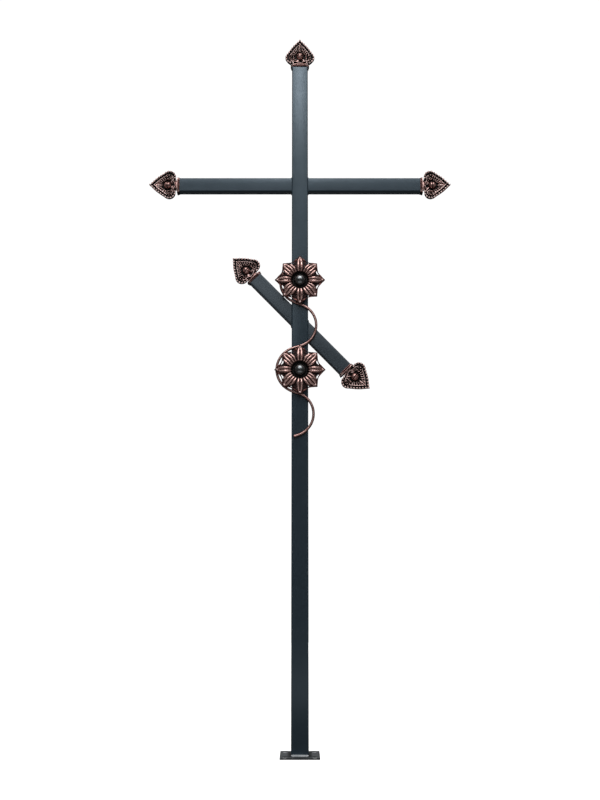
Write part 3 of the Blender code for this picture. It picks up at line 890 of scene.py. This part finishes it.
def bow(start, end, bulge):
    """Points of the arc from start down to end that stands out to the right by the bulge."""
    chord = end - start
    half = chord.length / 2
    radius = (half**2 + bulge**2) / (2 * bulge)
    outwards = Vector((-chord.y, chord.x)).normalized()
    middle = (start + end) / 2 + outwards * (bulge - radius)
    first = math.atan2(start.y - middle.y, start.x - middle.x)
    last = math.atan2(end.y - middle.y, end.x - middle.x)
    return spiral(middle, first, last, radius, radius)


def scroll_route():
    """The rod's middle line as (x, z) points: a curl, a bow, a wrap round the lower flower, a bow."""
    upper = Vector((0, FLOWER_HEIGHTS["upper"]))
    lower = Vector((0, FLOWER_HEIGHTS["lower"] + ROD_WRAP_LIFT))
    below = math.radians(270)
    curl = spiral(upper, ROD_CURL_START, below, ROD_CURL_RADIUS, ROD_WRAP_RADIUS)
    wrap = spiral(lower, math.radians(90), below, ROD_WRAP_RADIUS, ROD_WRAP_RADIUS)
    end = Vector((ROD_END_OFFSET, FLOWER_HEIGHTS["lower"] - ROD_END_DROP))
    upper_bow = bow(curl[-1], wrap[0], ROD_BOW_BULGE)
    lower_bow = bow(wrap[-1], end, ROD_BOW_BULGE)
    route = curl + upper_bow[1:] + wrap[1:] + lower_bow[1:]
    for _ in range(3):
        inner = zip(route, route[1:], route[2:])
        route = [route[0], *[(a + 2 * b + c) / 4 for a, b, c in inner], route[-1]]
    return np.array([tuple(point) for point in route])


def finer(points, passes):
    """The same line with more points on a smooth curve."""
    for _ in range(passes):
        padded = np.vstack([2 * points[0] - points[1], points, 2 * points[-1] - points[-2]])
        middles = (-padded[:-3] + 9 * padded[1:-2] + 9 * padded[2:-1] - padded[3:]) / 16
        merged = np.empty((len(points) + len(middles), 2))
        merged[0::2] = points
        merged[1::2] = middles
        points = merged
    return points


def scroll_rod():
    """A round rod along the route, faintly hammered, with rounded ends."""
    route = finer(scroll_route(), 2)
    steps = np.linalg.norm(np.diff(route, axis=0), axis=1)
    run = np.concatenate([[0], np.cumsum(steps)])
    tangents = np.gradient(route, axis=0)
    tangents /= np.linalg.norm(tangents, axis=1)[:, None]
    radius = ROD_DIAMETER / 2

    def place(turn, reach):
        angle = turn * 2 * math.pi
        along = np.clip((reach - ROD_END_SHARE) / (1 - 2 * ROD_END_SHARE), 0, 1)
        at = along * run[-1]
        x = np.interp(at, run, route[:, 0])
        z = np.interp(at, run, route[:, 1])
        tx = np.interp(at, run, tangents[:, 0])
        tz = np.interp(at, run, tangents[:, 1])
        from_end = np.minimum(reach, 1 - reach)
        size = np.where(from_end < ROD_END_SHARE, np.sqrt(from_end / ROD_END_SHARE), 1)
        hammered = 1 + 0.02 * np.sin(at / 0.006) * np.cos(2 * angle + at / 0.011)
        size = np.clip(size, 0, 1) * radius * hammered
        across = size * np.cos(angle)
        return np.stack([x - tz * across, size * np.sin(angle), z + tx * across], axis=1)

    rod = bent_grid("scroll_rod_forged", 20, 420, place)
    close_seams(rod)
    moved(rod, Matrix.Translation((0, FRONT - TOUCH_GAP - radius, 0)))
    rod_relief(rod)
    smooth(rod, 50)
    finish_piece(rod, copper, "brushed_copper_patina", "scroll_rod")
    return rod


def rod_relief(rod):
    """Rubs the rod along its front and leaves it dark behind."""
    normals = np.empty(3 * len(rod.data.vertices))
    rod.data.vertices.foreach_get("normal", normals)
    store_relief(rod, 0.52 + 0.32 * np.clip(-normals[1::3], -0.4, 1))


# ---- Tubes and welds ----


def tube(name, width, length, mitre, place, coat):
    """A hollow tube along +Z. The mitre lifts its lower end by so much for each metre to the right."""
    piece = rounded_box(
        name + "_drawn",
        (-width / 2, FRONT, 0),
        (width / 2, -FRONT, length),
        TUBE_CORNER_RADIUS,
        0,
    )
    normals = np.empty(3 * len(piece.data.polygons))
    piece.data.polygons.foreach_get("normal", normals)
    pick(piece, "FACE", np.abs(normals[2::3]) > 0.5)
    bpy.ops.mesh.delete(type="FACE")
    bpy.ops.object.mode_set(mode="OBJECT")
    points = coordinates(piece.data)
    points[:, 2] += np.where(points[:, 2] < length / 2, points[:, 0] * mitre, 0)
    set_coordinates(piece.data, points)
    wall = piece.modifiers.new("wall", "SOLIDIFY")
    wall.thickness = TUBE_WALL
    wall.offset = -1
    apply_modifiers(piece)
    moved(piece, place)
    smooth(piece, 40)
    finish_piece(piece, coat, "blue_grey_paint", name)
    return piece


def tubes():
    foot = PLATE_THICKNESS + TOUCH_GAP
    tube("post", POST_WIDTH, POST_TOP - foot, 0, Matrix.Translation((0, 0, foot)), paint)
    side = POST_WIDTH / 2 + TOUCH_GAP
    for name, hand in (("crossbar_left", -1), ("crossbar_right", 1)):
        start = Matrix.Translation((hand * side, 0, CROSSBAR_HEIGHT))
        turned = start @ Matrix.Rotation(hand * math.radians(90), 4, "Y")
        tube(name, ARM_WIDTH, CROSSBAR_REACH - side, 0, turned, paint)
    start = side / math.cos(SLANT_ANGLE)
    for name, upper in (("slanted_bar_upper", True), ("slanted_bar_lower", False)):
        turn = slanted_turn(upper)
        spot = (math.sin(turn) * start, 0, SLANTED_BAR_HEIGHT + math.cos(turn) * start)
        turned = Matrix.Translation(spot) @ Matrix.Rotation(turn, 4, "Y")
        tube(name, ARM_WIDTH, SLANTED_BAR_REACH - start, math.tan(SLANT_ANGLE), turned, painted_sheen_paint)


def weld_bead(name, length, reach, height):
    """A rippled bead along X on the plane Y = 0, from Z = 0, with round ends."""

    def place(turn, across):
        x = (turn - 0.5) * length
        beyond = np.clip((np.abs(x) - length / 2) / WELD_END_RADIUS + 1, 0, 1)
        ends = np.sqrt(1 - beyond**2)
        waves = 1 + 0.10 * np.cos(x / WELD_RIPPLE * 2 * math.pi)
        # across: 0 to 0.7 over the bead's face, then back along the wall and the plate
        angle = np.clip(across / 0.7, 0, 1) * math.pi / 2
        y = -reach * np.sin(angle) * ends * waves
        z = height * np.cos(angle) * ends * waves
        back = np.clip((across - 0.7) / 0.3, 0, 1)
        y = np.where(across > 0.7, -reach * ends * waves * (1 - np.clip(back * 2, 0, 1)), y)
        z = np.where(across > 0.7, height * ends * waves * np.clip(back * 2 - 1, 0, 1), z)
        return np.stack([x, y, z], axis=1)

    bead = bent_grid(name, 96, 20, place)
    close_seams(bead)
    return bead


def seam_weld(name, x, z, height):
    """The weld round an arm's end on the post's side: thin across the faces, fuller above and below.

    Its legs run up the front, over the top, down the back and under to the front again.
    """
    straight_z = height / 2 - TUBE_CORNER_RADIUS
    straight_y = TUBE_DEPTH / 2 - TUBE_CORNER_RADIUS
    quarter = TUBE_CORNER_RADIUS * math.pi / 2
    across = [quarter, 2 * straight_y, quarter]
    lengths = np.array([straight_z, *across, 2 * straight_z, *across, straight_z])
    ends = np.concatenate([[0], np.cumsum(lengths)])

    def place(turn, reach):
        run = turn * ends[-1]
        leg = np.clip(np.searchsorted(ends, run, side="right") - 1, 0, len(lengths) - 1)
        share = (run - ends[leg]) / lengths[leg]
        # The outward normal's angle: 0 is to the front, 90 up
        turned = np.array([0, 0, 90, 90, 180, 180, 270, 270, 360])[leg]
        angle = np.radians(turned + np.where(leg % 2 == 1, 90 * share, 0))
        front, up = np.cos(angle), np.sin(angle)
        corner_front = np.array([1, 1, 1, -1, -1, -1, -1, 1, 1])[leg]
        corner_up = np.array([0, 1, 1, 1, 1, -1, -1, -1, -1])[leg]
        at_front = np.select(
            [leg == 2, leg == 6],
            [straight_y * (1 - 2 * share), straight_y * (2 * share - 1)],
            straight_y * corner_front,
        )
        at_up = np.select(
            [leg == 0, leg == 4, leg == 8],
            [straight_z * share, straight_z * (1 - 2 * share), straight_z * (share - 1)],
            straight_z * corner_up,
        )
        radius = JOINT_WELD_RADIUS + JOINT_WELD_FULLER * np.abs(up) ** 2
        radius = radius * (1 + 0.12 * np.cos(run / JOINT_WELD_RIPPLE * 2 * math.pi))
        around = reach * 2 * math.pi
        outward = TUBE_CORNER_RADIUS + radius * np.cos(around)
        return np.stack(
            [x + radius * np.sin(around), -(at_front + front * outward), z + at_up + up * outward], axis=1
        )

    ring = bent_grid(name, 260, 10, place)
    close_seams(ring)
    return ring


def joint_welds():
    """The four welds where the arms meet the post, as one piece."""
    side = POST_WIDTH / 2 + TOUCH_GAP / 2
    rise = side * math.tan(math.radians(90) - SLANT_ANGLE)
    slanted_height = ARM_WIDTH / math.cos(SLANT_ANGLE)
    rings = []
    for hand in (-1, 1):
        rings.append(seam_weld("joint_weld", hand * side, CROSSBAR_HEIGHT, ARM_WIDTH))
        rings.append(seam_weld("joint_weld", hand * side, SLANTED_BAR_HEIGHT - hand * rise, slanted_height))
    welds = join(rings, "joint_welds")
    smooth(welds, 60)
    finish_piece(welds, paint, "blue_grey_paint")
    return welds


def base_plate():
    """The foot plate, its edges broken and its four anchor holes drilled through."""
    half = PLATE_SIZE / 2
    plate = rounded_box(
        "base_plate_cut",
        (-half, -half, 0),
        (half, half, PLATE_THICKNESS),
        PLATE_CORNER_RADIUS,
        PLATE_EDGE_RADIUS,
        corner_steps=4,
    )
    for x in (-ANCHOR_HOLE_PLACE, ANCHOR_HOLE_PLACE):
        for y in (-ANCHOR_HOLE_PLACE, ANCHOR_HOLE_PLACE):
            deselect_all()
            bpy.ops.mesh.primitive_cylinder_add(
                vertices=48, radius=ANCHOR_HOLE_RADIUS, depth=4 * PLATE_THICKNESS, location=(x, y, 0)
            )
            drill = bpy.context.object
            bpy.ops.object.transform_apply(location=True, rotation=True, scale=True)
            hole = plate.modifiers.new("anchor_hole", "BOOLEAN")
            hole.operation = "DIFFERENCE"
            hole.solver = "EXACT"
            hole.object = drill
            apply_modifiers(plate)
            select_only(drill)
            bpy.ops.object.delete()
    smooth(plate, 35)
    finish_piece(plate, dark_grey, "dark_grey_paint", "base_plate")


def foot_welds():
    """The fillet beads along the post's foot, in front and behind."""
    for name, side in (("front", 1), ("back", -1)):
        bead = weld_bead(f"foot_weld_{name}_bead", WELD_LENGTH, WELD_REACH - TOUCH_GAP, WELD_HEIGHT)
        points = coordinates(bead.data)
        points[:, 1] = side * (FRONT - TOUCH_GAP + points[:, 1])
        points[:, 2] += PLATE_THICKNESS + TOUCH_GAP
        set_coordinates(bead.data, points)
        close_seams(bead)
        smooth(bead, 60)
        finish_piece(bead, highlight_painted_weld, "dark_grey_paint", f"foot_weld_{name}")


# ---- Studio ----


def studio_camera():
    camera = bpy.data.cameras.new("camera")
    camera.lens = CAMERA_LENS
    camera.sensor_width = CAMERA_SENSOR
    camera.clip_end = 60
    holder = bpy.data.objects.new("camera", camera)
    bpy.context.scene.collection.objects.link(holder)
    holder.location = CAMERA_PLACE
    holder.rotation_euler = (math.radians(90) + CAMERA_TILT, 0, 0)
    bpy.context.scene.camera = holder


def soft_box(name, place, aim, width, height, glow, colour, gloss=True):
    """A rectangular lamp facing its aim, as bright across its face as the glow says."""
    lamp = bpy.data.lights.new(name, "AREA")
    lamp.shape = "RECTANGLE"
    lamp.size = width
    lamp.size_y = height
    lamp.energy = glow * math.pi * width * height
    lamp.color = colour
    holder = bpy.data.objects.new(name, lamp)
    bpy.context.scene.collection.objects.link(holder)
    holder.location = place
    holder.rotation_euler = (Vector(aim) - Vector(place)).to_track_quat("-Z", "Y").to_euler()
    holder.visible_glossy = gloss
    holder.visible_camera = False


def studio_light():
    world = bpy.data.worlds.new("studio")
    bpy.context.scene.world = world
    world.use_nodes = True
    tree = world.node_tree
    tree.nodes.clear()
    seen = tree.nodes.new("ShaderNodeBackground")
    seen.inputs["Color"].default_value = (1, 1, 1, 1)
    seen.inputs["Strength"].default_value = 1.05
    lit = tree.nodes.new("ShaderNodeBackground")
    place = tree.nodes.new("ShaderNodeTexCoord")
    split = tree.nodes.new("ShaderNodeSeparateXYZ")
    ramp = tree.nodes.new("ShaderNodeValToRGB")
    span = tree.nodes.new("ShaderNodeMapRange")
    span.inputs["From Min"].default_value = -1
    tree.links.new(place.outputs["Generated"], split.inputs[0])
    tree.links.new(split.outputs["Z"], span.inputs["Value"])
    tree.links.new(span.outputs[0], ramp.inputs["Fac"])
    stops = ((0.0, 0.05), (0.5, 0.04), (0.72, 0.10), (1.0, 0.30))
    while len(ramp.color_ramp.elements) < len(stops):
        ramp.color_ramp.elements.new(0.5)
    for element, (position, grey) in zip(ramp.color_ramp.elements, stops):
        element.position = position
        element.color = (grey, grey, grey, 1)
    tree.links.new(ramp.outputs["Color"], lit.inputs["Color"])
    rays = tree.nodes.new("ShaderNodeLightPath")
    choice = tree.nodes.new("ShaderNodeMixShader")
    tree.links.new(rays.outputs["Is Camera Ray"], choice.inputs[0])
    tree.links.new(lit.outputs[0], choice.inputs[1])
    tree.links.new(seen.outputs[0], choice.inputs[2])
    output = tree.nodes.new("ShaderNodeOutputWorld")
    tree.links.new(choice.outputs[0], output.inputs["Surface"])
    cool = (0.97, 0.99, 1.0)
    plain = (1.0, 1.0, 1.0)
    soft_box("key", (-0.05, -6.0, 5.35), (0, 0, 1.9), 0.7, 0.6, 6.5, cool)
    soft_box("wide_key", (0, -4.2, 5.5), (0, 0, 1.9), 6.4, 2.7, 2.3, cool)
    soft_box("glow_round_key", (0, -6.0, 4.6), (0, 0, 1.7), 6.0, 3.0, 0.55, cool)
    soft_box("glow_on_crossbar", (0.1, -6.1, 4.25), (0, 0, 1.7), 0.9, 0.8, 0.35, cool)
    soft_box("glow_on_slanted_bar", (-0.8, -6.2, 3.05), (0, 0, 1.3), 0.95, 0.9, 0.85, cool)
    soft_box("overhead", (0, -1.6, 4.2), (0, 0, 1.4), 2.2, 1.2, 3.2, plain)
    soft_box("floor_glow", (0, -1.6, 0.02), (0, -1.6, 2.0), 2.4, 1.6, 0.45, plain)
    soft_box("front_fill", (0, -4.2, 1.6), (0, 0, 1.2), 3.0, 3.0, 0.8, plain, gloss=False)
    soft_box("back_key", (0, 4.4, 5.0), (0, 0, 1.9), 4.0, 2.0, 1.6, cool)
    soft_box("back_fill", (0, 4.2, 1.6), (0, 0, 1.2), 3.0, 3.0, 2.4, plain, gloss=False)
    soft_box("left_fill", (-4.2, 1.0, 1.8), (0, 0, 1.2), 3.0, 3.0, 2.4, plain, gloss=False)
    soft_box("right_fill", (4.2, 1.0, 1.8), (0, 0, 1.2), 3.0, 3.0, 2.4, plain, gloss=False)


def studio_floor():
    deselect_all()
    bpy.ops.mesh.primitive_plane_add(size=24, location=(0, 8, -0.0005))
    floor = bpy.context.object
    floor.name = "studio_floor"
    floor.data.materials.append(pale_floor())
    floor.visible_diffuse = False
    floor.visible_glossy = False


studio_camera()
studio_light()
studio_floor()

paint = satin_paint("blue_grey_paint", (0.036, 0.056, 0.073), (0.044, 0.067, 0.087), (0.17, 0.21), 0.35)
# The slanted bars take the same blue-grey paint made lighter: a painted sheen standing in for the light their
# faces reflect.
painted_sheen_paint = satin_paint(
    "blue_grey_paint_with_painted_sheen", (0.060, 0.078, 0.094), (0.072, 0.092, 0.110), (0.17, 0.21), 0.35
)
dark_grey = plate_paint("dark_grey_paint")
# The foot welds are coated like the post. This light grey all over is a painted highlight standing in for the
# light the beads reflect.
highlight_painted_weld = satin_paint("weld_painted_highlight", (0.46, 0.48, 0.50), (0.70, 0.72, 0.74), (0.34, 0.48), 0.3)
graphite = satin_paint("graphite", (0.20, 0.21, 0.215), (0.24, 0.25, 0.255), (0.21, 0.25), 0.95)
copper = rubbed_copper("brushed_copper_patina")

for tip_name, tip_tube_width, lean, where in tip_places():
    cast_tip(tip_name, tip_tube_width, lean, where)
for flower_word, flower_height in FLOWER_HEIGHTS.items():
    stamped_flower(flower_word, flower_height)
    flower_ball(flower_word, flower_height)
scroll_rod()
tubes()
joint_welds()
base_plate()
foot_welds()

bpy.context.scene.view_settings.view_transform = "Standard"
